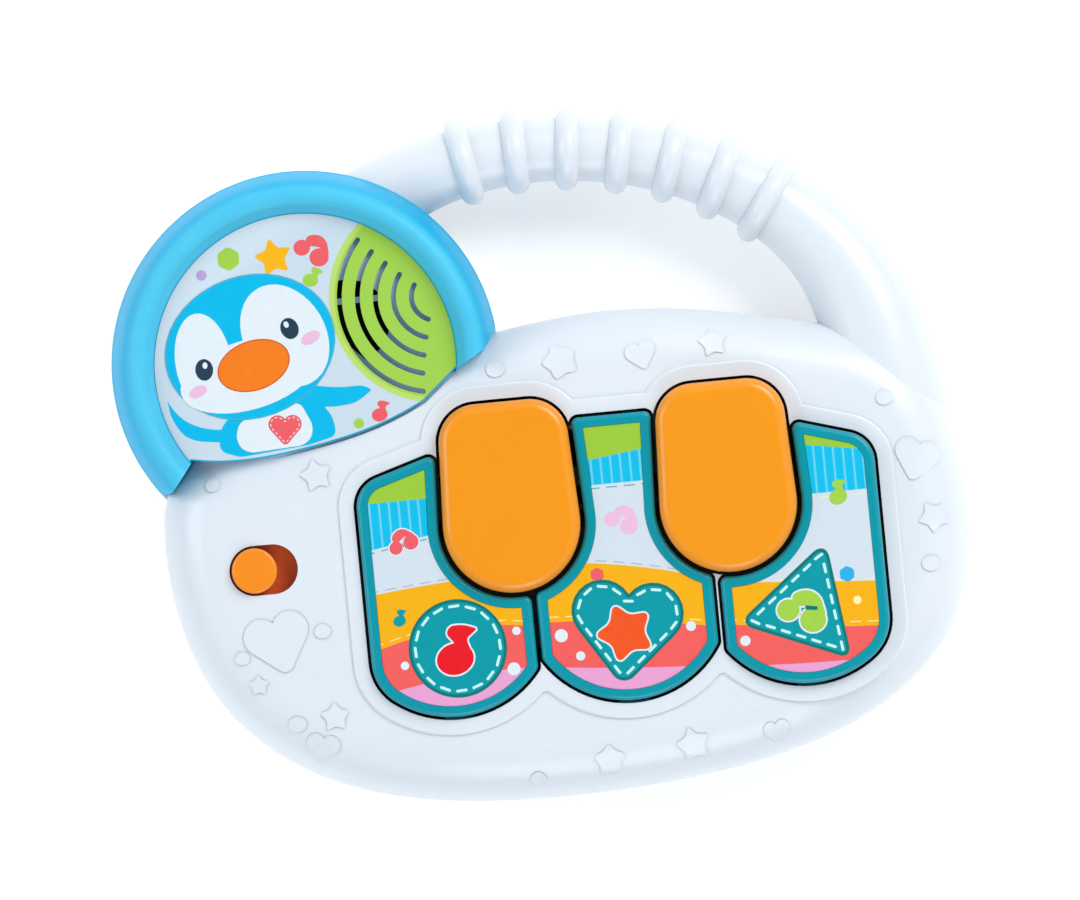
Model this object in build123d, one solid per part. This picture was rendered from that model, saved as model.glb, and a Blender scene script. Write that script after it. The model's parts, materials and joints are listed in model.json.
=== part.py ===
from build123d import *
from math import cos, radians, sin, sqrt
import os

# A toy keyboard lying on its back. X runs along the keys, Y towards the carrying handle, Z out of
# the face. Everything is drawn about a point in the middle of the keys, and moved to the middle of
# the case when it is written.

# ---- Case ----
wall = 2.2
parting = 16.0
crown = 36.0
crown_x = 2.0
crown_radius = 1200.0
front_round = 14.0
back_round = 9.0
rim_points = [
    (-101.6, 18), (-100.3, -4), (-90.5, -29.5), (-68, -49.4), (-35, -59.4), (2, -61.2), (40, -58),
    (76, -47.3), (97.5, -30), (106.4, -6), (106.4, 15), (101.5, 35), (90, 48.3), (68, 56), (40, 61.8),
    (15, 63.4), (-12, 60.5), (-50, 53), (-84, 41), (-98, 30),
]  # fmt: skip
spline_steps = 40  # points along an outline that is drawn again further in
fit_gap = 0.2  # between parts that are pushed together by hand
screw_fit = 0.05  # all round a screw in its hole

# ---- Head: the blue hood with its flat face plate ----
head_x, head_y = -61.0, 57.0
head_radius = 50.4
hood_band = 11.5  # width of the roll round the face plate
face_radius = head_radius - hood_band
hood_wall = 2.5
hood_top = 40.4
plate_top = 35.4
plate_thick = 2.2
tip_round = 2.5
chin_right = [(-8, 66), (-14.2, 56.6), (-21, 52.6), (-31, 44.2)]
chin_curve = [(-31, 44.2), (-46, 38.2), (-62, 34.8), (-80, 33.1), (-92.8, 34.4)]
chin_end = (-103, 21.2)
paper = 0.2

# ---- Sound slots and loudspeaker ----
slot_x, slot_y = -25.7, 71.4
slot_width = 1.3
slot_first, slot_pitch = 6.2, 4.68
slot_spans = [(146, 248), (143, 252), (141, 254), (139.5, 255.5), (138.5, 257.5)]
speaker_x, speaker_y = -49.0, 67.0
speaker_radius = 14.5
speaker_flange = 1.2
port_radius = 11.0
port_seat = 3.0
port_rib = 1.6
port_rib_offset = 5.4
magnet_radius, magnet_height = 8.0, 6.5
basket_depth = 6.3

# ---- Handle ----
grip = [
    (-58, 86, 10.5), (-37, 98, 10.3), (-15, 105.4, 8.9), (12.5, 106.2, 8.3), (38.8, 100.5, 8.6),
    (62, 88.8, 9.9), (77.5, 74, 11.7), (85.8, 57, 13.4), (89.5, 40, 14.2), (90.5, 22, 13),
]  # fmt: skip
bead_count = 7
bead_start = (-15, 105.4)
bead_pitch = 13.55
bead_radius = 3.0
bead_sink = 0.4  # of each bead's middle into the grip

# ---- Keys ----
key_gap = 0.8  # between the keys and the case round them
white_top = 37.5
orange_top = 41.0
skirt_bottom = 28.0
key_wall = 1.8
lobe_radius, lobe_y = 27.0, -11.0
white_width = 43.0
middle_width = 46.0
left_x, middle_x, right_x = -29.8, 16.0, 62.5
middle_neck_top = 36.5
side_neck_high, side_neck_slope = 30.6, 0.3
outer_round, shoulder_round = 13.0, 8.0
white_corner = 1.8
white_edge = 1.3
orange_x = (-11.6, 45.0)
orange_y = 10.6
orange_radius = 17.9
orange_end = 42.5
orange_corner = 10.0
orange_narrow = 1.0
orange_edge = 2.8
orange_gap = 1.2
label_margin = 2.8
label_sink = 0.4  # depth of the recess that a key's label lies in
label_play = 0.1
pad_width, pad_height, pad_edge, pad_cusp = 4.0, 0.7, 0.6, 1.5
rod_y, rod_z = 48.0, 24.0
rod_radius, rod_play = 1.5, 0.08
rod_left, rod_right = -51.5, 76.8
barrel_radius = 2.8
arm_height = 4.0
arms = {
    "key_left": [(-47, 4), (-37, 4)],
    "key_middle": [(9.5, 4), (20, 4)],
    "key_right": [(65.5, 7)],
    "key_orange_left": [(-25.5, 4), (-2, 4)],
    "key_orange_right": [(31.5, 4), (54.5, 4)],
}
hangers = [-50, -30, 5.2, 27.2, 61.2, 74.5]
hanger_thick = 2.0
stop_gap = 0.3
plunger_radius = 2.5

# ---- Circuit board and contact domes ----
board_left, board_right = -61.0, 93.0
board_front, board_back = -22.0, 8.0
board_top, board_thick = 19.0, 1.6
board_screw_x, board_screw_y = (-57.5, 89.0), (-18.0, 4.2)
post_radius = 2.3
small_screw, small_head, small_head_height = 1.1, 2.2, 1.4
board_screw_length, speaker_screw_length, door_screw_length = 7.1, 4.0, 8.0
dome_height, dome_base, dome_cap, dome_skin = 5.2, 5.0, 2.8, 0.7
dome_white_y, dome_orange_y = -14.0, 2.0
dome_gap = 0.3

# ---- Switch ----
knob_x, knob_y = -79.3, 4.8
knob_radius, knob_top = 5.9, 34.8
knob_travel = 4.8
knob_slot_play = 0.6
slider_length, slider_width, slider_thick, slider_top = 25.0, 16.0, 1.6, 28.7
switch_length, switch_depth, switch_height = 13.0, 6.4, 5.0
switch_board_length, switch_board_depth = 15.0, 30.0
switch_screw_offset = 11.8
lever_length, lever_depth = 2.4, 1.8

# ---- Batteries and their door ----
cell_radius, cell_length, cell_nub = 7.1, 49.2, 1.2
cell_gap = 1.2  # between the two cells
door_thick, door_sink = 1.7, 0.3
door_rib = 1.0  # from the door to the cells, which rest on its ribs
cell_x, cell_y, cell_z = -1.0, 29.2, door_sink + door_thick + door_rib + cell_radius
cell_pitch = 2 * cell_radius + cell_gap
spring_room = 6.2  # at the end of each cell, for its contact plate and its spring
box_length, box_wall = cell_length + cell_nub + spring_room, 1.6
ledge, ledge_thick = 4.5, 1.9
door_screw_offset = 36.0
door_head_height = 1.2
door_end = 8.0
contact_thick = 0.4

# ---- Case screws ----
case_screw, case_head, case_head_height, case_screw_length = 1.45, 2.7, 2.0, 11.0
boss_radius = 3.3
head_seat = 9.0
case_screw_spots = [
    (-86, -18), (-44, -49), (39.5, -48), (98, -2), (92, 33), (-5, 55.6), (48, 54.4), (-98, 66),
    (-66, 93), (19.2, 105),
]  # fmt: skip

# ---- Wires ----
wire_radius = 0.6


def prism(face, low, high):
    return Pos(0, 0, low) * extrude(face, amount=high - low)


def drum(x, y, radius, low, high):
    return prism(Pos(x, y) * Circle(radius), low, high)


def block(x0, x1, y0, y1, z0, z1):
    return Pos((x0 + x1) / 2, (y0 + y1) / 2, (z0 + z1) / 2) * Box(x1 - x0, y1 - y0, z1 - z0)


def ball(inset):
    # Its seam lies on its side, clear of the crowned face.
    return Pos(crown_x, 0, crown - crown_radius) * Rot(90, 0, 0) * Sphere(crown_radius - inset)


def face_z(x, y, inset=0.0):
    return crown - crown_radius + sqrt((crown_radius - inset) ** 2 - (x - crown_x) ** 2 - y**2)


def inward(plan, inset):
    # An offset spline is drawn again as a plain one, which every program reads.
    edges = []
    for edge in offset(plan, -inset).edges():
        if edge.geom_type == GeomType.OFFSET:
            points = [edge @ (k / spline_steps) for k in range(spline_steps)]
            edge = Spline(*points, periodic=True) if edge.is_closed else Spline(*points, edge @ 1)
        edges.append(edge)
    return make_face(edges)


def pillow(inset):
    outline = make_face(Wire([Spline(*rim_points, periodic=True)]))
    if inset:
        outline = inward(outline, inset)
    body = prism(outline, inset, 2 * crown) & ball(inset)
    top = [e for e in body.edges() if e.center().Z > parting and e.length > 3 * wall]
    rim = [e for e in top if abs(e.tangent_at(0.5).Z) < 0.5]
    body = fillet(rim[0], front_round - inset)
    base = [e for e in body.edges() if abs(e.center().Z - inset) < 0.01]
    return fillet(base[0], back_round - inset)


grip_path = Spline([(x, y, parting) for x, y, _ in grip])
grip_params = [grip_path.param_at_point(Vector(x, y, parting)) for x, y, _ in grip]


def grip_radius(param):
    for k in range(len(grip) - 1):
        if param <= grip_params[k + 1]:
            share = (param - grip_params[k]) / (grip_params[k + 1] - grip_params[k])
            return grip[k][2] + share * (grip[k + 1][2] - grip[k][2])
    return grip[-1][2]


def handle(inset):
    rings = []
    for param, (_, _, radius) in zip(grip_params, grip):
        across = Plane(origin=grip_path @ param, z_dir=grip_path % param)
        rings.append(across * Circle(radius - inset))
    return loft(rings)


def beads():
    made = []
    start = grip_path.param_at_point(Vector(*bead_start, parting)) * grip_path.length
    for k in range(bead_count):
        param = (start + k * bead_pitch) / grip_path.length
        across = Plane(origin=grip_path @ param, z_dir=grip_path % param)
        made.append(across * Torus(grip_radius(param) - bead_sink, bead_radius))
    return made


def head_plan(inset):
    above = [(-130, 0), (-130, 130), (0, 130)]
    chin = Curve() + Polyline(*chin_right) + Spline(*chin_curve)
    chin += Polyline(chin_curve[-1], chin_end, *above, chin_right[0])
    plan = make_face(chin) & (Pos(head_x, head_y) * Circle(head_radius))
    ends = [v for v in plan.vertices() if (Vector(v) - Vector(head_x, head_y)).length > head_radius - 0.1]
    plan = fillet(ends, tip_round)
    return inward(plan, inset) if inset else plan


def face_plan(inset, radius):
    return head_plan(inset) & (Pos(head_x, head_y) * Circle(radius))


# ---- Plans of the keys ----
def orange_plan(x):
    high = orange_end - orange_corner
    side = orange_radius - orange_corner - orange_narrow
    rounds = [Pos(x, orange_y) * Circle(orange_radius)]
    rounds += [Pos(x + s * side, high) * Circle(orange_corner) for s in (-1, 1)]
    return make_hull([e for r in rounds for e in r.edges()])


orange_plans = [orange_plan(x) for x in orange_x]


def white_plan(x, width, top):
    half = width / 2
    low = lobe_y - lobe_radius - 1
    band = make_face(Polyline((x - half, low), (x + half, low), *top, (x - half, low)))
    lobe = Pos(x, lobe_y) * Circle(lobe_radius)
    lobe += Pos(x, lobe_y) * Rectangle(2 * lobe_radius, 90, align=(Align.CENTER, Align.MIN))
    return band & lobe


def carve(plan):
    for orange in orange_plans:
        plan -= offset(orange, orange_gap)
    plan = max(plan.faces(), key=lambda f: f.area)
    return offset(offset(plan, -white_corner), white_corner)


def corner(plan, x, high):
    side = [v for v in plan.vertices() if abs(v.X - x) < 0.1]
    return max(side, key=lambda v: v.Y) if high else min(side, key=lambda v: v.Y)


def side_plan(x, outer):
    half = white_width / 2
    inner_x, outer_x = x - outer * half, x + outer * half
    inner_top = side_neck_high + side_neck_slope * white_width / 2
    points = [(inner_x, inner_top), (outer_x, inner_top - side_neck_slope * white_width)]
    top = points if outer < 0 else points[::-1]
    plan = white_plan(x, white_width, top)
    plan = fillet(corner(plan, outer_x, True), shoulder_round)
    plan = fillet(corner(plan, outer_x, False), outer_round)
    return carve(plan)


middle_half = middle_width / 2
middle_top = [(middle_x + middle_half, middle_neck_top), (middle_x - middle_half, middle_neck_top)]
plans = {
    "key_left": side_plan(left_x, -1),
    "key_middle": carve(white_plan(middle_x, middle_width, middle_top)),
    "key_right": side_plan(right_x, 1),
    "key_orange_left": orange_plans[0],
    "key_orange_right": orange_plans[1],
}


def around_keys(gap):
    grown = None
    for plan in plans.values():
        grown = offset(plan, gap) if grown is None else grown + offset(plan, gap)
    return make_face(max(grown.faces(), key=lambda f: f.area).outer_wire())


opening = around_keys(key_gap)
pad_plan = around_keys(key_gap + pad_width)
cusps = [v for v in pad_plan.vertices() if v.Y < lobe_y and abs(v.X - middle_x) < middle_width / 2 + 3]
pad_plan = fillet(cusps, pad_cusp)

# ---- Shells ----
# Each cavity is its plain hollow less the posts and ribs that stand in it, so every post ends in
# the wall it grows from.
roof = plate_top - plate_thick  # seat of the face plate on the front shell
low_part = Pos(0, 0, parting) * Box(500, 500, 200, align=(Align.CENTER, Align.CENTER, Align.MAX))
high_part = Pos(0, 0, parting) * Box(500, 500, 200, align=(Align.CENTER, Align.CENTER, Align.MIN))
inner_case = pillow(wall) + handle(wall)
outer_case = pillow(0) + [handle(0), *beads()]
back_lobe = drum(head_x, head_y, head_radius, 0, parting)
back_lobe = fillet(back_lobe.edges().sort_by(Axis.Z)[0], back_round)
inner_back_lobe = drum(head_x, head_y, head_radius - wall, wall, parting + 1)
inner_back_lobe = fillet(inner_back_lobe.edges().sort_by(Axis.Z)[0], back_round - wall)
lobe_inset = hood_wall + fit_gap
front_lobe = prism(head_plan(lobe_inset), parting, roof)
inner_front_lobe = prism(head_plan(lobe_inset + wall), parting - 1, roof - wall)


def screw_post(x, y, radius, low, hole, depth):
    return drum(x, y, radius, low, crown) - drum(x, y, hole, low, low + depth)


board_spots = [(x, y) for x in board_screw_x for y in board_screw_y]
slot_middle = knob_x + knob_travel / 2
switch_spots = [(slot_middle, knob_y + s * switch_screw_offset) for s in (-1, 1)]
speaker_top = roof - wall - port_seat
speaker_reach = speaker_radius + post_radius + 0.1
speaker_spots = [
    (speaker_x + speaker_reach * cos(radians(a)), speaker_y + speaker_reach * sin(radians(a)))
    for a in (90, 210, 330)
]


def front_posts():
    low, depth = parting + 0.1, head_seat + case_screw_length + 0.6 - parting
    made = [screw_post(x, y, boss_radius, low, case_screw + screw_fit, depth) for x, y in case_screw_spots]
    for x, y in board_spots + switch_spots:
        made.append(screw_post(x, y, post_radius, board_top, small_screw + screw_fit, 6.5))
    for x, y in speaker_spots:
        low = speaker_top - speaker_flange
        made.append(screw_post(x, y, post_radius, low, small_screw + screw_fit, 5.5))
    for x in hangers:
        plate = block(x, x + hanger_thick, rod_y - 3.4, rod_y + 3.4, rod_z - 2.7, crown)
        hole = Cylinder(rod_radius + screw_fit, 3 * hanger_thick)
        made.append(plate - Pos(x, rod_y, rod_z) * Rot(0, 90, 0) * hole)
    for s in (-1, 1):
        y = knob_y + s * (slider_width / 2 + stop_gap + 0.8)
        low = slider_top - slider_thick
        made.append(block(slot_middle - 9, slot_middle + 9, y - 0.8, y + 0.8, low, crown))
    made.append(drum(speaker_x, speaker_y, speaker_radius, speaker_top, crown))
    return made


def front_openings():
    slot_length = 2 * (knob_radius + knob_slot_play) + knob_travel
    knob_slot = Pos(slot_middle, knob_y) * SlotOverall(slot_length, 2 * (knob_radius + knob_slot_play))
    port = Pos(speaker_x, speaker_y) * Circle(port_radius)
    for turn in (0, -45):
        shift = port_rib_offset if turn == 0 else -port_rib_offset
        port -= Pos(speaker_x, speaker_y) * Rot(0, 0, turn) * Pos(0, shift) * Rectangle(50, port_rib)
    made = [prism(opening, skirt_bottom - 4, 2 * crown), prism(knob_slot, skirt_bottom - 4, 2 * crown)]
    made += [prism(f, roof - wall - 1, crown) for f in port.faces()]
    made.append(drum(speaker_x, speaker_y, port_radius, speaker_top - 1, roof - wall))
    return made


def front_shell():
    pad = prism(pad_plan, skirt_bottom, 2 * crown) & ball(-pad_height)
    pad_rim = [e for e in pad.edges() if e.center().Z > crown - 5 and abs(e.tangent_at(0.5).Z) < 0.5]
    pad = fillet(pad_rim, pad_edge)
    full = (outer_case & high_part) + pad
    full = full - prism(head_plan(-fit_gap), roof, 2 * crown) + front_lobe
    hollow = ((inner_case + inner_front_lobe) & high_part) - front_posts()
    made = full - hollow
    return made - front_openings()


cell_spots = [cell_y - cell_pitch / 2, cell_y + cell_pitch / 2]
box_half_x, box_half_y = box_length / 2, cell_pitch / 2 + cell_radius + 0.4
box_top = cell_z + cell_radius + 0.3
door_half_x, door_half_y = box_half_x + door_end, box_half_y + 1.2
door_top = door_sink + door_thick
ledge_low = door_top + 0.1
door_spots = [(cell_x + s * door_screw_offset, cell_y) for s in (-1, 1)]


def box_at(half_x, half_y, low, high):
    return block(cell_x - half_x, cell_x + half_x, cell_y - half_y, cell_y + half_y, low, high)


def back_shell():
    solid = [drum(x, y, boss_radius, -1, parting - 0.1) for x, y in case_screw_spots]
    solid.append(box_at(door_half_x + ledge, door_half_y + ledge, -1, ledge_low + ledge_thick))
    solid.append(box_at(box_half_x + box_wall, box_half_y + box_wall, -1, box_top + box_wall))
    solid += [drum(x, y, boss_radius, -1, ledge_low + 9) for x, y in door_spots]
    board_low = board_top - board_thick
    solid += [drum(x, dome_white_y, post_radius, -1, board_low) for x in (left_x, middle_x, right_x)]
    hollow = ((inner_case + inner_back_lobe) & low_part) - solid
    door_hole = box_at(door_half_x, door_half_y, -1, ledge_low)
    box_holes = [box_at(box_half_x, box_half_y, -1, box_top)]
    box_holes.append(fillet(door_hole.edges().filter_by(Axis.Z), 3))
    door_holes, case_holes = [], []
    for x, y in door_spots:
        hole = drum(x, y, boss_radius + 0.3, -1, ledge_low + 1.6)
        door_holes.append(hole + drum(x, y, small_screw + screw_fit, -1, ledge_low + 8))
    for x, y in case_screw_spots:
        hole = drum(x, y, case_head + 0.3, -1, head_seat)
        case_holes.append(hole + drum(x, y, case_screw + 0.25, -1, parting + 1))
    main = (outer_case & low_part) - hollow - box_holes - door_holes - case_holes
    return main + (back_lobe - hollow - box_holes - door_holes - case_holes)


# ---- Hood, with its face plate and sound slots ----
def slot_faces(width):
    made = []
    for k, (start, end) in enumerate(slot_spans):
        radius = slot_first + k * slot_pitch
        arc = CenterArc((slot_x, slot_y), radius, start, end - start)
        made.append(SlotArc(arc, width))
    return made


def hood():
    out, lip = head_radius, face_radius
    low = plate_top - plate_thick
    profile = Curve() + Polyline((lip, low), (lip + 0.4, plate_top), (lip + 2.7, hood_top - 1.2))
    roll = [(lip + 2.7, hood_top - 1.2), (lip + 5.2, hood_top), (out - 1.8, hood_top - 7), (out, 26)]
    profile += Spline(*roll)
    profile += Polyline((out, 26), (out, parting), (lip, parting), (lip, low))
    ring = revolve(Plane.XZ * make_face(profile), Axis.Z)
    made = Pos(head_x, head_y) * ring & prism(head_plan(0), parting, 2 * crown)
    made += prism(face_plan(0.5, lip + 0.6), low, plate_top)
    groove = [(lip + 4.6, low - 1), (lip + 4.6, hood_top - 3.2)]
    groove += [(out - 4.8, hood_top - 7.4), (out - 4.8, low - 1)]
    groove = revolve(Plane.XZ * make_face(Polyline(*groove, close=True)), Axis.Z, 190)
    made -= Pos(head_x, head_y) * Rot(0, 0, 14) * groove
    made -= prism(head_plan(lobe_inset - fit_gap), parting - 1, low)
    made -= outer_case
    made = max(made.solids(), key=lambda s: s.volume)
    return made - [prism(f, low - 1, plate_top + 1) for f in slot_faces(slot_width)]


def face_label():
    sheet = face_plan(0.9, face_radius + 0.3) - slot_faces(slot_width)
    return prism(sheet, plate_top, plate_top + paper)


# ---- Keys ----
key_middles = {
    "key_left": left_x, "key_middle": middle_x, "key_right": right_x,
    "key_orange_left": orange_x[0], "key_orange_right": orange_x[1],
}  # fmt: skip
labelled = ("key_left", "key_middle", "key_right")


def key(name, high, edge, press_y, arm_start):
    plan, x = plans[name], key_middles[name]
    ceiling = high - key_wall / 2
    arm_top = rod_z + barrel_radius
    arm_low = arm_top - arm_height
    made = prism(plan, skirt_bottom, high)
    made = fillet(made.faces().sort_by(Axis.Z)[-1].edges(), edge)
    made -= prism(offset(plan, -key_wall), skirt_bottom, high - key_wall)
    if name in labelled:
        made -= prism(offset(plan, label_play - label_margin), high - label_sink, high + 1)
    bores = []
    for side, width in arms[name]:
        web = block(side, side + width, arm_start, rod_y, arm_low, ceiling)
        made += web & prism(offset(plan, -key_wall / 2), arm_low, ceiling)
        barrel = Pos(side + width / 2, rod_y, rod_z) * Rot(0, 90, 0)
        made += block(side, side + width, arm_start, rod_y, arm_low, arm_top)
        made += barrel * Cylinder(barrel_radius, width)
        bores.append(barrel * Cylinder(rod_radius + rod_play, width + 2))
    fin = block(x - 7, x + 7, press_y - 0.6, press_y + 0.6, skirt_bottom, ceiling)
    made += [drum(x, press_y, plunger_radius, board_top + dome_height + dome_gap, ceiling), fin]
    return made - bores


tab_room = pillow(wall + stop_gap)


def white_key(name, arm_start):
    x, tip = key_middles[name], lobe_y - lobe_radius
    stop_top = face_z(x, tip - 4, wall) - stop_gap
    tab = block(x - 4, x + 4, tip - 4, tip + key_wall / 2, skirt_bottom, stop_top)
    return key(name, white_top, white_edge, dome_white_y, arm_start) + (tab & tab_room)


def key_label(name):
    low = white_top - label_sink
    return prism(offset(plans[name], -label_margin), low, low + paper)


def pivot_rod():
    length = rod_right - rod_left
    return Pos((rod_left + rod_right) / 2, rod_y, rod_z) * Rot(0, 90, 0) * Cylinder(rod_radius, length)


# ---- Circuit board ----
def screw(x, y, seat, radius, head, head_height, length):
    made = drum(x, y, head, seat - head_height, seat) + drum(x, y, radius, seat, seat + length)
    drive = Pos(x, y, seat - head_height) * (Box(head, head / 4, 0.8) + Box(head / 4, head, 0.8))
    return made - drive


def circuit_board():
    low = board_top - board_thick
    made = block(board_left, board_right, board_front, board_back, low, board_top)
    return made - [drum(x, y, small_screw + 0.3, 0, crown) for x, y in board_spots]


def dome(x, y):
    foot, top = dome_base, dome_cap
    outer = [(foot, 0), (foot, dome_skin), (foot - 1, dome_skin), (top, dome_height), (0, dome_height)]
    roof_low = dome_height - dome_skin
    inner = [(0, roof_low), (top - dome_skin, roof_low), (foot - 1 - dome_skin, 0)]
    profile = make_face(Polyline(*outer, *inner, close=True))
    return Pos(x, y, board_top) * revolve(Plane.XZ * profile, Axis.Z)


def board_components():
    low = board_top - board_thick
    made = [drum(x, y, 2.5, low - 6, low) for x, y in ((-44, -6), (-2, -16), (40, 2))]
    for k in range(6):
        x = -20 + 14 * k
        made.append(block(x - 1.6, x + 1.6, -4, -2.4, low - 0.6, low))
    return made


def chip_cap():
    profile = make_face(Polyline((0, 0), (5, 0), (0, -1.8), close=True))
    cap = revolve(Plane.XZ * profile, Axis.Z)
    cap = fillet(cap.edges().filter_by(GeomType.CIRCLE), 0.3)
    return Pos(2, -9, board_top - board_thick) * cap


# ---- Switch ----
def switch_knob():
    low = slider_top - slider_thick
    slider = Pos(knob_x, knob_y) * RectangleRounded(slider_length, slider_width, 4)
    made = prism(slider, low, slider_top)
    stem = drum(knob_x, knob_y, knob_radius, slider_top, knob_top)
    made += fillet(stem.edges().sort_by(Axis.Z)[-1], 0.8)
    reach, clear = lever_length / 2 + 0.1, board_top + switch_height + 0.4
    for near, far in ((-reach - 1.4, -reach), (reach, reach + 1.4)):
        made += block(knob_x + near, knob_x + far, knob_y - 2, knob_y + 2, clear, low)
    return made


def switch_body():
    half_x, half_y = switch_length / 2, switch_depth / 2
    top = board_top + switch_height
    left, right = slot_middle - half_x, slot_middle + half_x
    made = block(left, right, knob_y - half_y, knob_y + half_y, board_top, top)
    reach = lever_length / 2 + stop_gap
    low_y, high_y = knob_y - lever_depth / 2 - stop_gap, knob_y + lever_depth / 2 + stop_gap
    slit = block(knob_x - reach, knob_x + knob_travel + reach, low_y, high_y, top - 2.5, top + 1)
    return made - slit


def switch_lever():
    half_x, half_y = lever_length / 2, lever_depth / 2
    top = board_top + switch_height
    left, right = knob_x - half_x, knob_x + half_x
    return block(left, right, knob_y - half_y, knob_y + half_y, top - 2.2, top + 3.1)


def switch_board():
    half_x, half_y = switch_board_length / 2, switch_board_depth / 2
    low = board_top - board_thick
    left, right = slot_middle - half_x, slot_middle + half_x
    made = block(left, right, knob_y - half_y, knob_y + half_y, low, board_top)
    return made - [drum(x, y, small_screw + 0.3, 0, crown) for x, y in switch_spots]


# ---- Loudspeaker ----
def turned(points):
    return Pos(speaker_x, speaker_y) * revolve(Plane.XZ * make_face(Polyline(*points, close=True)), Axis.Z)


def speaker_frame():
    top, seat = speaker_top, speaker_top - speaker_flange
    low = seat - basket_depth
    rim, base = speaker_radius - 0.1, magnet_radius + 0.8
    return turned([
        (rim - 2.6, top), (rim, top), (rim, seat), (rim - 1, seat), (base, low), (0, low),
        (0, low + 0.8), (base - 0.4, low + 0.8), (rim - 1.8, seat + 0.4), (rim - 2.6, seat + 0.4),
    ])  # fmt: skip


def speaker_cone():
    rim, top = speaker_radius - 3, speaker_top - 0.4
    under = [(0, top - 2.4), (2, top - 2.8), (4, top - 4), (rim - 0.9, top - 0.4), (rim, top - 0.4)]
    over = [(rim, top), (rim - 1, top), (4, top - 3.5), (2, top - 2.4), (0, top - 2)]
    return turned(under + over)


def speaker_magnet():
    top = speaker_top - speaker_flange - basket_depth
    return fillet(drum(speaker_x, speaker_y, magnet_radius, top - magnet_height, top).edges(), 0.5)


# ---- Batteries and door ----
def battery(y, way):
    body = Cylinder(cell_radius, cell_length)
    body = fillet(body.edges(), 0.6) + Pos(0, 0, (cell_length + cell_nub) / 2) * Cylinder(2.7, cell_nub)
    end = box_half_x - contact_thick - cell_nub
    return Pos(cell_x + way * (end - cell_length / 2), y, cell_z) * Rot(0, 90 * way, 0) * body


def battery_plate(y, way):
    end = cell_x + way * box_half_x
    inner = end - way * contact_thick
    return block(min(end, inner), max(end, inner), y - 4, y + 4, cell_z - 4, cell_z + 4)


def battery_spring(y, way):
    reach = 2 * box_half_x - contact_thick - cell_nub - cell_length
    leaf = [(0, -4), (0.4, -4), (0.4, 2), (reach - 0.5, -1.4)]
    leaf += [(reach, -1), (reach, -0.5), (0.4, 3.6), (0, 4)]
    made = Plane.XZ * extrude(make_face(Polyline(*leaf, close=True)), amount=3, both=True)
    made = made if way < 0 else mirror(made, Plane.YZ)
    return Pos(cell_x + way * box_half_x, y, cell_z) * made


def battery_door():
    play = 0.25
    made = box_at(door_half_x - play, door_half_y - play, door_sink, door_top)
    made = fillet(made.edges().filter_by(Axis.Z), 3 - play)
    for x, y in door_spots:
        made += drum(x, y, boss_radius, door_sink, door_top + 1.5)
    rib_top = cell_z - cell_radius - 0.1
    for x in (cell_x - 18, cell_x + 18):
        made += block(x - 0.6, x + 0.6, cell_y - 14, cell_y + 14, door_top - 0.1, rib_top)
    for k in range(5):
        x = cell_x + 4 * (k - 2)
        made -= block(x - 0.6, x + 0.6, cell_y - 6, cell_y + 6, door_sink - 1, door_sink + 0.5)
    for x, y in door_spots:
        made -= drum(x, y, small_head + 0.3, door_sink - 1, door_top - 0.3)
        made -= drum(x, y, small_screw + 0.2, door_sink - 1, crown)
    return made


# ---- Wires ----
def wire(points, bend):
    path = FilletPolyline(*points, radius=bend)
    return sweep(Plane(origin=path @ 0, z_dir=path % 0) * Circle(wire_radius), path)


def speaker_wires():
    start = speaker_top - speaker_flange - basket_depth - magnet_height - wire_radius - 0.05
    end = board_top - board_thick - wire_radius - 0.1
    made = []
    for x in (-52, -50):
        points = [(x, 66, start), (x - 1, 46, start - 0.8), (x, 26, start - 0.2), (x, 12, start + 1)]
        made.append(wire([*points, (x, 4, end)], 9))
    return made


def battery_wires():
    end = board_top - board_thick - wire_radius - 0.1
    out = box_half_x + box_wall + wire_radius + 0.1
    sides = (cell_x - out, cell_x + out)
    return [wire([(x, 34, 14), (x, 16, 13.4), (x, 5, end)], 9) for x in sides]


def switch_wires():
    end = board_top - board_thick - wire_radius - 0.1
    made = []
    for y in (-3, -6):
        points = [(-71, y, end), (-65.5, y - 1, end - 1.4), (-59.5, y - 1, end - 1.2), (-54, y, end)]
        made.append(wire(points, 6))
    return made


def group(solids):
    return Compound(children=list(solids))


parts = {
    "front_shell": front_shell(),
    "back_shell": back_shell(),
    "hood": hood(),
    "face_label": face_label(),
    "key_left": white_key("key_left", 16),
    "key_middle": white_key("key_middle", 24),
    "key_right": white_key("key_right", 16),
    "key_orange_left": key("key_orange_left", orange_top, orange_edge, dome_orange_y, 30),
    "key_orange_right": key("key_orange_right", orange_top, orange_edge, dome_orange_y, 30),
    "key_pivot_rod": pivot_rod(),
    "circuit_board": circuit_board(),
    "chip_cap": chip_cap(),
    "board_components": group(board_components()),
    "switch_knob": switch_knob(),
    "switch_body": switch_body(),
    "switch_lever": switch_lever(),
    "switch_board": switch_board(),
    "speaker_frame": speaker_frame(),
    "speaker_cone": speaker_cone(),
    "speaker_magnet": speaker_magnet(),
    "battery_front": battery(cell_spots[0], 1),
    "battery_rear": battery(cell_spots[1], -1),
    "battery_contacts": group([battery_plate(cell_spots[0], 1), battery_plate(cell_spots[1], -1)]),
    "battery_springs": group([battery_spring(cell_spots[0], -1), battery_spring(cell_spots[1], 1)]),
    "battery_door": battery_door(),
    "speaker_wires": group(speaker_wires()),
    "battery_wires": group(battery_wires()),
    "switch_wires": group(switch_wires()),
}
for name in labelled:
    parts[name.replace("key", "label")] = key_label(name)
for name, x in key_middles.items():
    y = dome_orange_y if "orange" in name else dome_white_y
    parts[name.replace("key", "dome")] = dome(x, y)
board_seat = board_top - board_thick
small = (small_screw, small_head, small_head_height)
flange_seat, door_seat = speaker_top - speaker_flange, door_top - 0.3
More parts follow.
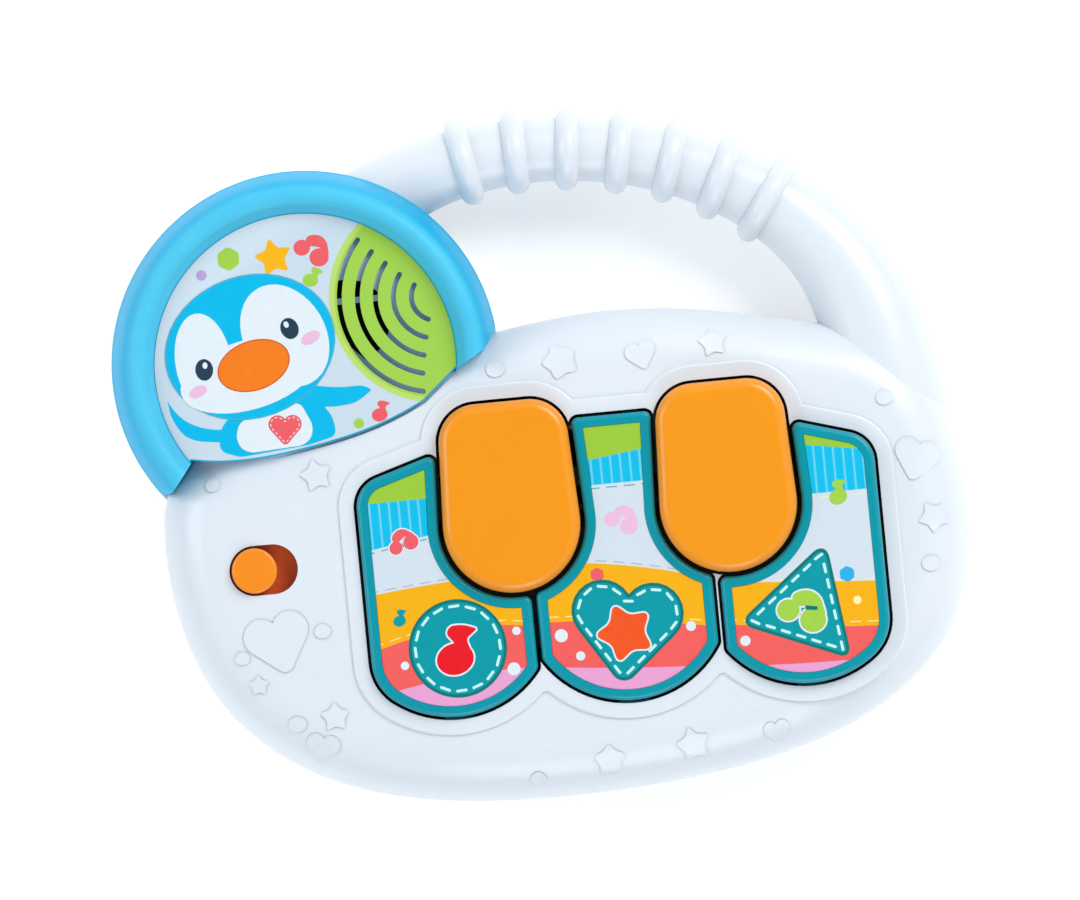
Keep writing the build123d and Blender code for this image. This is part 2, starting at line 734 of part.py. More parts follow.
board_size, speaker_size = (*small, board_screw_length), (*small, speaker_screw_length)
parts["board_screws"] = group(screw(x, y, board_seat, *board_size) for x, y in board_spots + switch_spots)
parts["speaker_screws"] = group(screw(x, y, flange_seat, *speaker_size) for x, y in speaker_spots)
door_size = (small_screw, small_head, door_head_height, door_screw_length)
parts["door_screws"] = group(screw(x, y, door_seat, *door_size) for x, y in door_spots)
case_size = (case_screw, case_head, case_head_height, case_screw_length)
parts["case_screws"] = group(screw(x, y, head_seat, *case_size) for x, y in case_screw_spots)

# The row's origin is under the middle of the case.
case = Compound([parts[n] for n in ("front_shell", "back_shell", "hood")]).bounding_box()
middle = case.center()
os.makedirs("parts", exist_ok=True)
for name, shape in parts.items():
    export_step(Pos(-middle.X, -middle.Y, 0) * shape, f"parts/{name}.step")
print(len(parts), "parts, size", case.size, "middle", middle)
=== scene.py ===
import json
from math import acos, atan2, cos, hypot, pi, radians, sin

import bmesh
import bpy
from mathutils import Matrix, Vector
from mathutils.bvhtree import BVHTree


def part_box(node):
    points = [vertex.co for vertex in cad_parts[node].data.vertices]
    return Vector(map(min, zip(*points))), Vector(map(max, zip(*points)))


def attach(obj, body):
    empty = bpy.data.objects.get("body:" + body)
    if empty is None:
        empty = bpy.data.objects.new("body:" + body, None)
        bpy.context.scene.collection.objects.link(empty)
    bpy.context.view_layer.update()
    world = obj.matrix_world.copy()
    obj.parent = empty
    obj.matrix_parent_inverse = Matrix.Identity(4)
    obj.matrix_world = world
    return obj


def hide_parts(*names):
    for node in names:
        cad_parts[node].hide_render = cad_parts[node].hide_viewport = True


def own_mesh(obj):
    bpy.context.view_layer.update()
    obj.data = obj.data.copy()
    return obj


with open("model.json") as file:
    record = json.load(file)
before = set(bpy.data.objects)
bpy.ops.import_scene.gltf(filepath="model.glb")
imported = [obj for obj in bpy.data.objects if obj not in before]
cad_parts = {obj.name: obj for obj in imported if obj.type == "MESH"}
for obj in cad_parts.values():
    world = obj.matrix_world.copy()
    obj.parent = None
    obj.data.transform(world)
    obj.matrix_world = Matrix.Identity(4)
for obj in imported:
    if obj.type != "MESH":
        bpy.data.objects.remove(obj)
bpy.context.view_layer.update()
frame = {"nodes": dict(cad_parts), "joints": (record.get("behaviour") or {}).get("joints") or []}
nodes = frame["nodes"]
mm = 0.001

# Everything is drawn in millimetres about the middle of the keys, which lies 48 mm in front of their rod.
rodToMiddle = 48
keyHinge = next(j for j in frame["joints"] if j["child"] == "key_middle_body")
home = Vector(keyHinge["pos_m"]) - Vector((0, rodToMiddle * mm, 0))
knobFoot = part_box("switch_knob")[1].z / mm - 6  # top of the slider that the knob stands on
print("frame loaded, middle of the keys at", tuple(round(v, 5) for v in home))


# Shader maths

studioLight = 1.25


def ink(red, green, blue):
    # a screen colour, 0 to 255, as the share of the studio's light that the finish throws back
    light = [c / 255 / 12.92 if c <= 10 else ((c / 255 + 0.055) / 1.055) ** 2.4 for c in (red, green, blue)]
    return (*[c / studioLight for c in light], 1)


class Flow:
    # a node's output, which adds its own Math nodes when it is worked with
    def __init__(self, paint, output):
        self.paint, self.output = paint, output

    def math(self, operation, *values, clamp=False):
        settings = {"operation": operation, "use_clamp": clamp}
        return self.paint.node("ShaderNodeMath", settings, dict(enumerate(values)))

    def __add__(self, other):
        return self.math("ADD", self, other)

    def __radd__(self, other):
        return self.math("ADD", other, self)

    def __sub__(self, other):
        return self.math("SUBTRACT", self, other)

    def __rsub__(self, other):
        return self.math("SUBTRACT", other, self)

    def __mul__(self, other):
        return self.math("MULTIPLY", self, other)

    def __rmul__(self, other):
        return self.math("MULTIPLY", other, self)

    def __truediv__(self, other):
        return self.math("DIVIDE", self, other)

    def __pow__(self, other):
        return self.math("POWER", self, other)

    def __abs__(self):
        return self.math("ABSOLUTE", self)

    def fraction(self):
        return self.math("FRACT", self)

    def step(self, softness):
        # 0 where this is well below zero, 1 where it is well above, over a short ramp
        return self.math("MULTIPLY_ADD", self, 1 / softness, 0.5, clamp=True)


class Paint:
    def __init__(self, name, colour, roughness, **sockets):
        self.material = bpy.data.materials.new(name)
        self.material.use_nodes = True
        self.tree = self.material.node_tree
        self.shader = self.tree.nodes["Principled BSDF"]
        self.material.diffuse_color = colour
        self.feed(self.shader.inputs["Base Color"], colour)
        self.feed(self.shader.inputs["Roughness"], roughness)
        for socket, value in sockets.items():
            self.feed(self.shader.inputs[socket.replace("_", " ")], value)

    def feed(self, socket, value):
        if isinstance(value, Flow):
            self.tree.links.new(value.output, socket)
        else:
            socket.default_value = value

    def node(self, kind, settings, sockets, output=0):
        made = self.tree.nodes.new(kind)
        for key, value in settings.items():
            if key == "stops":
                ramp = made.color_ramp.elements
                while len(ramp) < len(value):
                    ramp.new(1)
                for stop, (place, colour) in zip(ramp, value):
                    stop.position, stop.color = place, colour
            else:
                setattr(made, key, value)
        for key, value in sockets.items():
            self.feed(made.inputs[key], value)
        return Flow(self, made.outputs[output])

    def place(self):
        # millimetres from the middle of the keys
        here = self.node("ShaderNodeTexCoord", {}, {}, "Object")
        middle = (home.x, home.y, 0)
        shift = self.node("ShaderNodeVectorMath", {"operation": "SUBTRACT"}, {0: here, 1: middle})
        return self.node("ShaderNodeVectorMath", {"operation": "SCALE"}, {0: shift, "Scale": 1000})

    def axes(self):
        here = self.place()
        return [self.node("ShaderNodeSeparateXYZ", {}, {0: here}, k) for k in range(3)]

    def noise(self, size, detail=3, rough=0.5):
        # size in millimetres
        sockets = {"Vector": self.place(), "Scale": 1 / size, "Detail": detail, "Roughness": rough}
        return self.node("ShaderNodeTexNoise", {}, sockets, 0)

    def mix(self, amount, first, second, way="MIX"):
        settings = {"data_type": "RGBA", "blend_type": way, "clamp_factor": True}
        return self.node("ShaderNodeMix", settings, {0: amount, 6: first, 7: second}, 2)

    def colour(self, value):
        self.feed(self.shader.inputs["Base Color"], value)

    def rough(self, value):
        self.feed(self.shader.inputs["Roughness"], value)

    def bump(self, height, depth):
        # depth in millimetres for a height of one
        sockets = {"Strength": 1.0, "Distance": depth * mm, "Height": height}
        self.feed(self.shader.inputs["Normal"], self.node("ShaderNodeBump", {}, sockets))


plastic = {
    "flow": 26, "rubbed": 5, "spark": 0.35, "sparkDepth": 0.0015,  # millimetres
    "coatRoughness": 0.12, "glowDepth": 1.2,
}  # fmt: skip


def moulded(name, base, deep, roughness, coat, glow=0.0, shine=0.4):
    # injection moulded plastic: faint flow marks, a fine spark finish and rubbed, slightly duller spots
    paint = Paint(name, ink(*base), roughness, Specular_IOR_Level=shine)
    paint.feed(paint.shader.inputs["Coat Weight"], coat)
    paint.feed(paint.shader.inputs["Coat Roughness"], plastic["coatRoughness"])
    if glow:
        paint.feed(paint.shader.inputs["Subsurface Weight"], glow)
        paint.feed(paint.shader.inputs["Subsurface Radius"], (1.0, 1.0, 1.1))
        paint.feed(paint.shader.inputs["Subsurface Scale"], plastic["glowDepth"] * mm)
    flow = paint.noise(plastic["flow"], 2)
    rubbed = paint.noise(plastic["rubbed"], 4, 0.6)
    spark = paint.noise(plastic["spark"], 2)
    paint.colour(paint.mix(flow * 0.5, ink(*base), ink(*deep)))
    paint.rough(roughness - 0.05 + rubbed * 0.1)
    paint.bump(spark, plastic["sparkDepth"])
    return paint


palette = {
    "white": (234, 239, 245), "whiteDeep": (220, 230, 240),
    # hoodHighlight is a painted highlight colour for the band round the picture
    "hood": (0, 180, 228), "hoodDeep": (0, 168, 220), "hoodHighlight": (96, 212, 244),
    "teal": (0, 156, 172), "tealDeep": (0, 140, 158),
    "orange": (251, 158, 18), "orangeDeep": (247, 145, 6),
    "knob": (255, 150, 28), "knobDeep": (244, 124, 12), "slider": (255, 96, 44),
    "pale": (214, 226, 235), "green": (158, 204, 62), "blue": (14, 192, 234), "stripe": (142, 224, 246),
    # slider is painted shade: the orange slider as it looks in the shadow of its slot
    "stitch": (196, 244, 240), "mask": (224, 233, 239), "bird": (0, 182, 228), "rim": (70, 172, 206),
    "yellow": (250, 180, 20), "coral": (246, 98, 94), "pink": (236, 164, 210), "cream": (250, 236, 170),
    "grille": (165, 210, 80), "grilleEdge": (196, 226, 120),
    "red": (232, 22, 34), "flame": (240, 84, 30), "paper": (244, 246, 246), "dark": (34, 58, 76),
    "lilac": (184, 160, 208), "rose": (236, 186, 216), "patch": (0, 150, 162), "patchEdge": (4, 116, 112),
    "leaf": (160, 206, 70), "sky": (40, 172, 230), "beak": (244, 122, 26), "orangeEdge": (206, 84, 16),
    "berry": (236, 92, 98),
    "steel": (176, 178, 182), "steelDull": (140, 142, 148), "board": (10, 40, 28), "trace": (18, 60, 42),
    "silicone": (206, 208, 204),
}  # fmt: skip


def knobPaint():
    # the round knob is orange; below the knob's foot the orange slider is painted a deeper red as painted
    # shade, standing in for the shadow in its slot
    paint = moulded("knobPlastic", palette["knob"], palette["knobDeep"], 0.3, 0.15)
    x, y, z = paint.axes()
    flow = paint.noise(8, 2)
    top = paint.mix(flow * 0.5, ink(*palette["knob"]), ink(*palette["knobDeep"]))
    # painted shade: below the knob's foot the colour turns to the slider's shadowed red
    paint.colour(paint.mix((z - knobFoot).step(0.3), ink(*palette["slider"]), top))
    return paint


# painted highlight: where the lighter band round the picture lies on the hood, and how much of the highlight
# colour it takes
hoodPaintedHighlight = {"middle": (-61, 57), "bandInner": 39.4, "bandOuter": 46.6, "highlightShare": 0.85}


def fromMiddle(x, y, middle):
    # how far from a middle, seen from above
    return ((x - middle[0]) ** 2 + (y - middle[1]) ** 2) ** 0.5


def hoodPaint():
    # painted highlight: the band round the picture is painted lighter, standing in for light on the hood's
    # inner wall; outside the band the plain hood colour stays, so the roll-off reads darker
    paint = moulded("hoodPlastic", palette["hood"], palette["hoodDeep"], 0.36, 0.02, shine=0.1)
    x, y, z = paint.axes()
    out = fromMiddle(x, y, hoodPaintedHighlight["middle"])
    litBand = (hoodPaintedHighlight["bandOuter"] - out).step(1.6) * (out - hoodPaintedHighlight["bandInner"]).step(0.8)
    tone = paint.mix(litBand * hoodPaintedHighlight["highlightShare"], ink(*palette["hood"]), ink(*palette["hoodHighlight"]))
    flow = paint.noise(18, 2)
    paint.colour(paint.mix(flow * 0.35, tone, ink(*palette["hoodDeep"])))
    return paint


def bandLine(x, ends, levels):
    # the curve through three heights, at the label's left edge, middle and right edge
    (left, right), (low, mid, high) = ends, levels
    half = (right - left) / 2
    slope, bend = (high - low) / (2 * half), (high + low - 2 * mid) / (2 * half * half)
    step = x - (left + right) / 2
    return mid + step * slope + step * step * bend


def paperFinish(paint, made):
    # the print on a sheet's fine fibres
    fibre = paint.noise(0.25, 3)
    paint.colour(paint.mix(fibre * 0.08, made, ink(*palette["paper"]), "MULTIPLY"))
    paint.rough(0.32 + paint.noise(3, 3) * 0.1)
    paint.bump(fibre, 0.004)
    return paint


seams = {"pitch": 4.6, "dash": 0.62, "halfWidth": 0.16}


def labelPaint(name, ends, bands, stripes):
    # a printed label: bands of ink, a striped band and sewn-looking seams
    paint = Paint(name, ink(*palette["pale"]), 0.36, Specular_IOR_Level=0.2)
    x, y, z = paint.axes()
    made = ink(*palette["green"])
    first, pitch, width = stripes
    stripe = (width / 2 - abs(((x - first) / pitch + 0.5).fraction() - 0.5) * pitch).step(0.12)
    blue = paint.mix(stripe * 0.55, ink(*palette["blue"]), ink(*palette["stripe"]))
    looks = {"blue": blue}
    for tone, levels, seam, thread in bands:
        line = bandLine(x, ends, levels)
        under = (line - y).step(0.12)
        made = paint.mix(under, made, looks.get(tone, ink(*palette[tone])))
        if seam:
            gap = (x / seams["pitch"]).fraction()
            dash = (seams["halfWidth"] - abs(y - line - seam)).step(0.1) * (seams["dash"] - gap).step(0.04)
            made = paint.mix(dash * 0.85, made, ink(*palette[thread]))
    return paperFinish(paint, made)


grilleRound = {"middle": (-25.7, 71.4), "reach": 27.6, "edgeFrom": 26.2}
faceSweep = {"ends": (-100, -22), "levels": (58, 92, 92), "low": (205, 221, 232), "high": (222, 233, 241)}


def faceLabelPaint():
    # a pale sky that lightens over a sweep, and the green round behind the sound slots
    paint = Paint("faceLabelPrint", ink(*palette["pale"]), 0.36, Specular_IOR_Level=0.2)
    x, y, z = paint.axes()
    out = fromMiddle(x, y, grilleRound["middle"])
    grille = (grilleRound["reach"] - out).step(0.15)
    edge = (out - grilleRound["edgeFrom"]).step(0.3) * grille
    sweep = bandLine(x, faceSweep["ends"], faceSweep["levels"])
    light = paint.mix((y - sweep).step(6) * 0.5, ink(*faceSweep["low"]), ink(*faceSweep["high"]))
    made = paint.mix(grille, light, ink(*palette["grille"]))
    made = paint.mix(edge * 0.8, made, ink(*palette["grilleEdge"]))
    return paperFinish(paint, made)


inks = {}


def inkPaint(tone):
    # one printed colour: a little mottled, with the paper's fine tooth
    if tone not in inks:
        paint = Paint("ink_" + tone, ink(*palette[tone]), 0.36, Specular_IOR_Level=0.2)
        fibre, mottle = paint.noise(0.25, 3), paint.noise(2.2, 3)
        softer = ink(*[min(255, c + 14) for c in palette[tone]])
        paint.colour(paint.mix(mottle * 0.6, ink(*palette[tone]), softer))
        paint.rough(0.32 + mottle * 0.1)
        paint.bump(fibre, 0.004)
        inks[tone] = paint.material
    return inks[tone]


def steelPaint():
    # turned and plated steel, with fine marks and a few dull spots
    paint = Paint("steel", ink(*palette["steel"]), 0.32, Metallic=1.0)
    marks, spots = paint.noise(0.2, 2), paint.noise(2.5, 4)
    paint.colour(paint.mix(spots, ink(*palette["steel"]), ink(*palette["steelDull"])))
    paint.rough(0.26 + spots * 0.2)
    paint.bump(marks, 0.004)
    return paint


runPitch, runWander = 2.4, 6  # millimetres


def boardPaint():
    # solder mask over copper runs
    paint = Paint("boardMask", ink(*palette["board"]), 0.32, Coat_Weight=0.4)
    x, y, z = paint.axes()
    wander = paint.noise(9, 1) * runWander
    runs = (0.5 - abs(((y + wander) / runPitch).fraction() - 0.5) * 2).step(0.2)
    paint.colour(paint.mix(runs, ink(*palette["board"]), ink(*palette["trace"])))
    paint.rough(0.3 + paint.noise(1.5, 3) * 0.12)
    paint.bump(runs, 0.03)
    return paint


def plainPaint(name, base, deep, roughness, size, grain, **sockets):
    # soft, matt or wrapped parts: two tones with a fine grain
    paint = Paint(name, ink(*base), roughness, **sockets)
    blotch, fine = paint.noise(size, 4, 0.6), paint.noise(size / 12, 2)
    paint.colour(paint.mix(blotch, ink(*base), ink(*deep)))
    paint.rough(roughness - 0.05 + blotch * 0.1)
    paint.bump(fine, grain)
    return paint


cells = {
    "split": 29.2, "rearFrom": 8, "frontFrom": -10,  # between the two, and where each one's copper begins
    "sleeve": (30, 33, 40), "sleeveLight": (46, 50, 58), "copper": (196, 122, 62),
}  # fmt: skip


def cellPaint():
    # a sleeve with a copper coloured end, as a plain dry cell has
    paint = Paint("cellSleeve", ink(36, 38, 44), 0.3, Coat_Weight=0.5)
    x, y, z = paint.axes()
    rear = (x - cells["rearFrom"]).step(0.3) * (y - cells["split"]).step(0.1)
    front = (cells["frontFrom"] - x).step(0.3) * (cells["split"] - y).step(0.1)
    mottle = paint.noise(3, 3)
    sleeve = paint.mix(mottle, ink(*cells["sleeve"]), ink(*cells["sleeveLight"]))
    paint.colour(paint.mix(rear + front, sleeve, ink(*cells["copper"])))
    paint.rough(0.26 + mottle * 0.12)
    paint.bump(paint.noise(0.4, 2), 0.004)
    return paint


wires = {
    "blackFrom": -51, "switchSide": -52, "behind": -4.5,
    "red": (196, 28, 24), "redDeep": (170, 20, 20), "black": (24, 24, 26),
}  # fmt: skip


def wirePaint():
    # black to the right of blackFrom, and at the switch the lead that lies further back
    paint = Paint("wireSleeve", ink(190, 30, 26), 0.42)
    x, y, z = paint.axes()
    atSwitch = (y - wires["behind"]).step(0.1) * (wires["switchSide"] - x).step(0.1)
    mottle = paint.noise(2, 3)
    red = paint.mix(mottle, ink(*wires["red"]), ink(*wires["redDeep"]))
    paint.colour(paint.mix((x - wires["blackFrom"]).step(0.1) + atSwitch, red, ink(*wires["black"])))
    paint.rough(0.4 + mottle * 0.12)
    paint.bump(paint.noise(0.3, 2), 0.006)
    return paint


labels = {
    "left": {
        "ends": (-48.5, -10),
        "stripes": (-45.5, 2.55, 0.55),
        "bands": [
            ("blue", (19.3, 19.3, 19.6), 0, None), ("pale", (7.2, 10.4, 14), -0.8, "teal"),
            ("yellow", (-4.4, -2.8, -2.2), 0.7, "steel"), ("coral", (-18.7, -15.2, -16.2), 1.2, "cream"),
            ("pink", (-30.5, -27.6, -27), 0, None),
        ],
    },
    "middle": {
        "ends": (-5.8, 37.6),
        "stripes": (10.4, 2.55, 0.55),
        "bands": [
            ("blue", (23.2, 25.9, 28.4), 0, None), ("pale", (18.6, 18.6, 18.6), -0.9, "teal"),
            ("yellow", (-0.4, -2.8, -8.2), 0.7, "steel"), ("coral", (-15.8, -17.4, -20.8), 1.3, "cream"),
            ("pink", (-27.4, -29.6, -31), 0, None),
        ],
    },
    "right": {
        "ends": (43.2, 81.8),
        "stripes": (68.3, 2.55, 0.55),
        "bands": [
            ("blue", (28, 24.4, 21.2), 0, None), ("pale", (10.9, 10.9, 10.9), -1.1, "cream"),
            ("yellow", (-10, -11.6, -13.2), 0.6, "cream"), ("coral", (-21, -23.4, -24.8), 1.2, "cream"),
            ("pink", (-31.8, -32.8, -33), 0, None),
        ],
    },
}  # fmt: skip

steel, black = steelPaint(), plainPaint("blackPlastic", (26, 26, 28), (38, 38, 42), 0.45, 2, 0.01)
shell = moulded("shellPlastic", palette["white"], palette["whiteDeep"], 0.36, 0.2, glow=0.12)
hood, knob = hoodPaint(), knobPaint()
teal = moulded("tealPlastic", palette["teal"], palette["tealDeep"], 0.28, 0.08, shine=0.3)
orange = moulded("orangePlastic", palette["orange"], palette["orangeDeep"], 0.3, 0.15, glow=0.1)
board, cell, leads = boardPaint(), cellPaint(), wirePaint()
silicone = plainPaint("silicone", palette["silicone"], (190, 192, 188), 0.5, 3, 0.008)
conePaper = plainPaint("conePaper", (30, 30, 32), (44, 42, 42), 0.8, 1.2, 0.05)
finishes = {
    "front_shell": shell, "back_shell": shell, "battery_door": shell, "hood": hood,
    "key_left": teal, "key_middle": teal, "key_right": teal,
    "key_orange_left": orange, "key_orange_right": orange, "switch_knob": knob,
    "circuit_board": board, "switch_board": board, "chip_cap": black, "board_components": black,
    "switch_lever": black, "speaker_cone": conePaper, "battery_front": cell, "battery_rear": cell,
    "face_label": faceLabelPaint(),
}  # fmt: skip
for side, look in labels.items():
    finishes["label_" + side] = labelPaint("labelPrint_" + side, look["ends"], look["bands"], look["stripes"])
for name, piece in nodes.items():
    fallback = silicone if name.startswith("dome") else leads if "wires" in name else steel
    piece.data.materials.clear()
    piece.data.materials.append(finishes.get(name, fallback).material)
print("finishes on", len(nodes), "nodes")


# Flat outlines, in millimetres

def roundedLoop(points, radii, segments=5):
    # a few corners, each rounded by a bevel of its own width
    mesh = bmesh.new()
    corners = [mesh.verts.new((x, y, 0)) for x, y in points]
    mesh.faces.new(corners)
    widths = radii if isinstance(radii, (list, tuple)) else [radii] * len(points)
    for corner, width in zip(corners, widths):
        if width:
            bmesh.ops.bevel(
                mesh, geom=[corner], offset=width, offset_type="OFFSET", affect="VERTICES",
                segments=segments, profile=0.5, material=-1,
            )  # fmt: skip
    mesh.faces.ensure_lookup_table()
    loop = [Vector((v.co.x, v.co.y)) for v in mesh.faces[0].verts]
    mesh.free()
    return loop


def turned(loop, x, y, turn=0, size=1.0):
    way = Matrix.Rotation(radians(turn), 2)
    return [Vector((x, y)) + way @ Vector(p) * size for p in loop]


def ovalLoop(x, y, wide, high, turn=0, count=40):
    ring = [(wide * cos(2 * pi * k / count), high * sin(2 * pi * k / count)) for k in range(count)]
    return turned(ring, x, y, turn)


def grown(loop, distance):
    # the same outline, further out by a distance
    area = sum(a.x * b.y - b.x * a.y for a, b in zip(loop, loop[1:] + loop[:1]))
    way = 1 if area > 0 else -1
    made = []
    for before, here, after in zip(loop[-1:] + loop[:-1], loop, loop[1:] + loop[:1]):
        first, second = (here - before), (after - here)
        if first.length < 1e-6 or second.length < 1e-6:
            continue
        normal = (Vector((first.y, -first.x)).normalized() + Vector((second.y, -second.x)).normalized()) * way
        reach = distance / max(0.4, normal.length / 2)
        made.append(here + normal.normalized() * reach)
    return made


def starLoop(points, outer, inner, tip=0.8, dip=0.5):
    ring = []
    for k in range(2 * points):
        radius, angle = (outer, inner)[k % 2], pi / 2 + pi * k / points
        ring.append((radius * cos(angle), radius * sin(angle)))
    return roundedLoop(ring, [tip, dip] * points, 4)


heart = {"lobeX": 7.2, "lobeY": 3.1, "lobe": 8.8, "tipY": -12.4, "tip": 4}  # 32 across


def heartLoop(x, y, turn=0, size=1.0, margin=0.0, steps=12):
    # two round lobes and a round tip, or the outline that runs a margin outside them
    lobeX, lobeY, lobe, tipY, tip = (v * size for v in heart.values())
    meet = acos(-lobeX / lobe)
    notch = Vector((0, lobeY + lobe * sin(meet)))
    lean = atan2(tipY - lobeY, -lobeX) + acos((lobe - tip) / hypot(lobeX, lobeY - tipY))
    arcs = [((lobeX, lobeY), lobe + margin, meet, lean), ((0, tipY), tip + margin, lean, -pi / 2)]
    if margin < 0:
        arcs.insert(0, (notch, -margin, -pi / 2, meet - pi))
    right = []
    for (midX, midY), radius, start, end in arcs:
        for k in range(steps + 1):
            angle = start + (end - start) * k / steps
            right.append(Vector((midX + radius * cos(angle), midY + radius * sin(angle))))
    right = [p for p, q in zip(right, right[1:] + right[:1]) if p.x > 1e-4 and (p - q).length > 1e-4]
    left = [Vector((-p.x, p.y)) for p in reversed(right)]
    top, bottom = notch + Vector((0, margin)), Vector((0, tipY - tip - margin))
    return turned([top, *right, bottom, *left], x, y, turn)


# a chunky flag for a head 2.5 wide, and a chunky beam for two heads 4.3 apart
flagLoop = roundedLoop(
    [(-0.3, 0.9), (0.1, 2.2), (-0.9, 3.4), (-0.4, 4.5), (1.5, 4.5), (3.3, 3.8), (1.7, 2.6), (2.4, 0.2)],
    [0.1, 0.4, 0.45, 0.6, 0.7, 0.35, 0.5, 0.2], 4,
)  # fmt: skip
beamLoop = roundedLoop(
    [(1.1, 0.2), (1.4, 2.8), (4, 3.3), (6.7, 1.8), (7, -2.6), (5.2, -3.4), (5, -0.4), (2.6, 0.2)],
    [0.2, 0.8, 1.2, 1.6, 0.6, 0.3, 0.5, 0.3], 4,
)  # fmt: skip


def toMetres(mesh, x, y, z=0.0):
    bmesh.ops.scale(mesh, vec=(mm, mm, mm), verts=mesh.verts)
    bmesh.ops.translate(mesh, vec=(x, y, z), verts=mesh.verts)


def madePiece(name, mesh, material, smooth=False):
    # an object of its own, at the origin
    data = bpy.data.meshes.new(name)
    mesh.to_mesh(data)
    mesh.free()
    for polygon in data.polygons:
        polygon.use_smooth = smooth
    piece = bpy.data.objects.new(name, data)
    bpy.context.scene.collection.objects.link(piece)
    data.materials.append(material)
    return piece


inkLayer = {"thick": 0.04, "sunk": 0.02}


class Print:
    # the inks on one label, one thin piece for each colour, a little higher for each layer
    def __init__(self, name, body, node):
        self.name, self.body = name, body
        self.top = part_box(node)[1].z / mm
        self.layers = {}

    def plate(self, tone, loop, layer=1):
        mesh = self.layers.setdefault((tone, layer), bmesh.new())
        low, high = self.top - inkLayer["sunk"], self.top + inkLayer["thick"] * layer
        corners = [mesh.verts.new((p.x, p.y, low)) for p in loop]
        face = mesh.faces.new(corners)
        grownUp = bmesh.ops.extrude_face_region(mesh, geom=[face])
        raised = [v for v in grownUp["geom"] if isinstance(v, bmesh.types.BMVert)]
        bmesh.ops.translate(mesh, vec=(0, 0, high - low), verts=raised)

    def oval(self, tone, x, y, wide, high, turn=0, layer=1):
        self.plate(tone, ovalLoop(x, y, wide, high, turn), layer)

    def note(self, tone, x, y, size=1.0, turn=0, layer=1, margin=0.0):
        # a note with a flag, from the middle of its head
        self.plate(tone, grown(ovalLoop(x, y, 2.5 * size, 2.1 * size, turn + 12, 32), margin), layer)
        self.plate(tone, grown(turned(flagLoop, x, y, turn, size), margin), layer + 0.2)

    def pair(self, tone, x, y, size=1.0, turn=0, layer=1, margin=0.0):
        # two notes under one beam, from the middle of the left head
        second = Vector((x, y)) + Matrix.Rotation(radians(turn), 2) @ Vector((4.3, -3)) * size
        self.plate(tone, grown(ovalLoop(x, y, 2.2 * size, 2.1 * size, turn, 32), margin), layer)
        self.plate(tone, grown(ovalLoop(*second, 2.55 * size, 2.4 * size, turn, 32), margin), layer)
        self.plate(tone, grown(turned(beamLoop, x, y, turn, size), margin), layer + 0.2)

    def stitches(self, tone, loop, pitch, length, width, layer=2):
        # dashes spread evenly along a closed outline
        steps = [(b - a).length for a, b in zip(loop, loop[1:] + loop[:1])]
        count = round(sum(steps) / pitch)
        for k in range(count):
            goal, index = sum(steps) * k / count, 0
            while goal > steps[index]:
                goal -= steps[index]
                index += 1
            start, end = loop[index], loop[(index + 1) % len(loop)]
            spot = start.lerp(end, goal / steps[index])
            angle = atan2(end.y - start.y, end.x - start.x)
            long, wide = length / 2, width / 2
            ends = [(-long, -wide), (long, -wide), (long, wide), (-long, wide)]
            dash = roundedLoop(ends, width * 0.4, 2)
            self.plate(tone, turned(dash, spot.x, spot.y, angle * 180 / pi), layer)

    def dots(self, tone, spots):
        for x, y, radius in spots:
            self.oval(tone, x, y, radius, radius)

    def hexagon(self, tone, x, y, outer, inner, corner, layer=1):
        self.plate(tone, turned(starLoop(6, outer, inner, corner, 0), x, y), layer)

    def finish(self):
        for (tone, layer), mesh in self.layers.items():
            bmesh.ops.recalc_face_normals(mesh, faces=mesh.faces)
            toMetres(mesh, home.x, home.y)
            piece = madePiece(f"{self.name}_{tone}_{round(layer * 10)}", mesh, inkPaint(tone))
            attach(piece, self.body)
        print(self.name, "printed in", len(self.layers), "layers")


patchSewing = {"steps": (0, -0.8, -1.8), "dash": 0.68, "thread": 0.72}  # steps in to the edge, cloth and seam
halo = 0.45  # pale line round the shape on a patch


def sewnPatch(art, loops, pitch):
    # a patch with a darker edge and a line of running stitches inside it
    edge, patch, seam = loops
    art.plate("patchEdge", edge, 1)
    art.plate("patch", patch, 2)
    art.stitches("stitch", seam, pitch, patchSewing["dash"] * pitch, patchSewing["thread"], 3)


leftArt = {
    "patch": (-28.6, -20.3, 12.8), "pitch": 4.35, "note": (-29.5, -23, 1.94, 0),
    "pair": (-42.1, 7.2, 0.8, 52), "smallNote": (-43, -11.8, 0.66, 0),
    "dots": [(-13, -17.2, 1.1), (-42.7, -23.5, 1.1), (-14.6, -27, 1.7)],
}  # fmt: skip


def leftPrint():
    art = Print("leftPrint", "key_left_body", "label_left")
    x, y, radius = leftArt["patch"]
    rings = [ovalLoop(x, y, radius + step, radius + step, 0, 64) for step in patchSewing["steps"]]
    sewnPatch(art, rings, leftArt["pitch"])
    for tone, margin, layer in (("mask", halo, 3), ("red", 0, 4)):
        art.note(tone, *leftArt["note"], layer, margin)
    art.pair("mask", *leftArt["pair"], 1, 0.35)
    art.pair("berry", *leftArt["pair"], 2)
    art.note("patch", *leftArt["smallNote"])
    art.dots("mask", leftArt["dots"])
    art.finish()


middleArt = {
    "patch": (15.8, -17.9, -9, 0.915), "pitch": 4.1,
    "star": (15.2, -20.4, 18), "starShape": (5, 8.3, 4.7, 2, 1.2),
    "pair": (14.5, 9.3, 0.9, 8), "hexagon": (9.3, -4.7, 1.9, 1.65, 0.3),
    "dots": [(-1.5, -19.6, 1.7), (3, -25.3, 1.2), (32.3, -20.3, 1.3)],
}  # fmt: skip


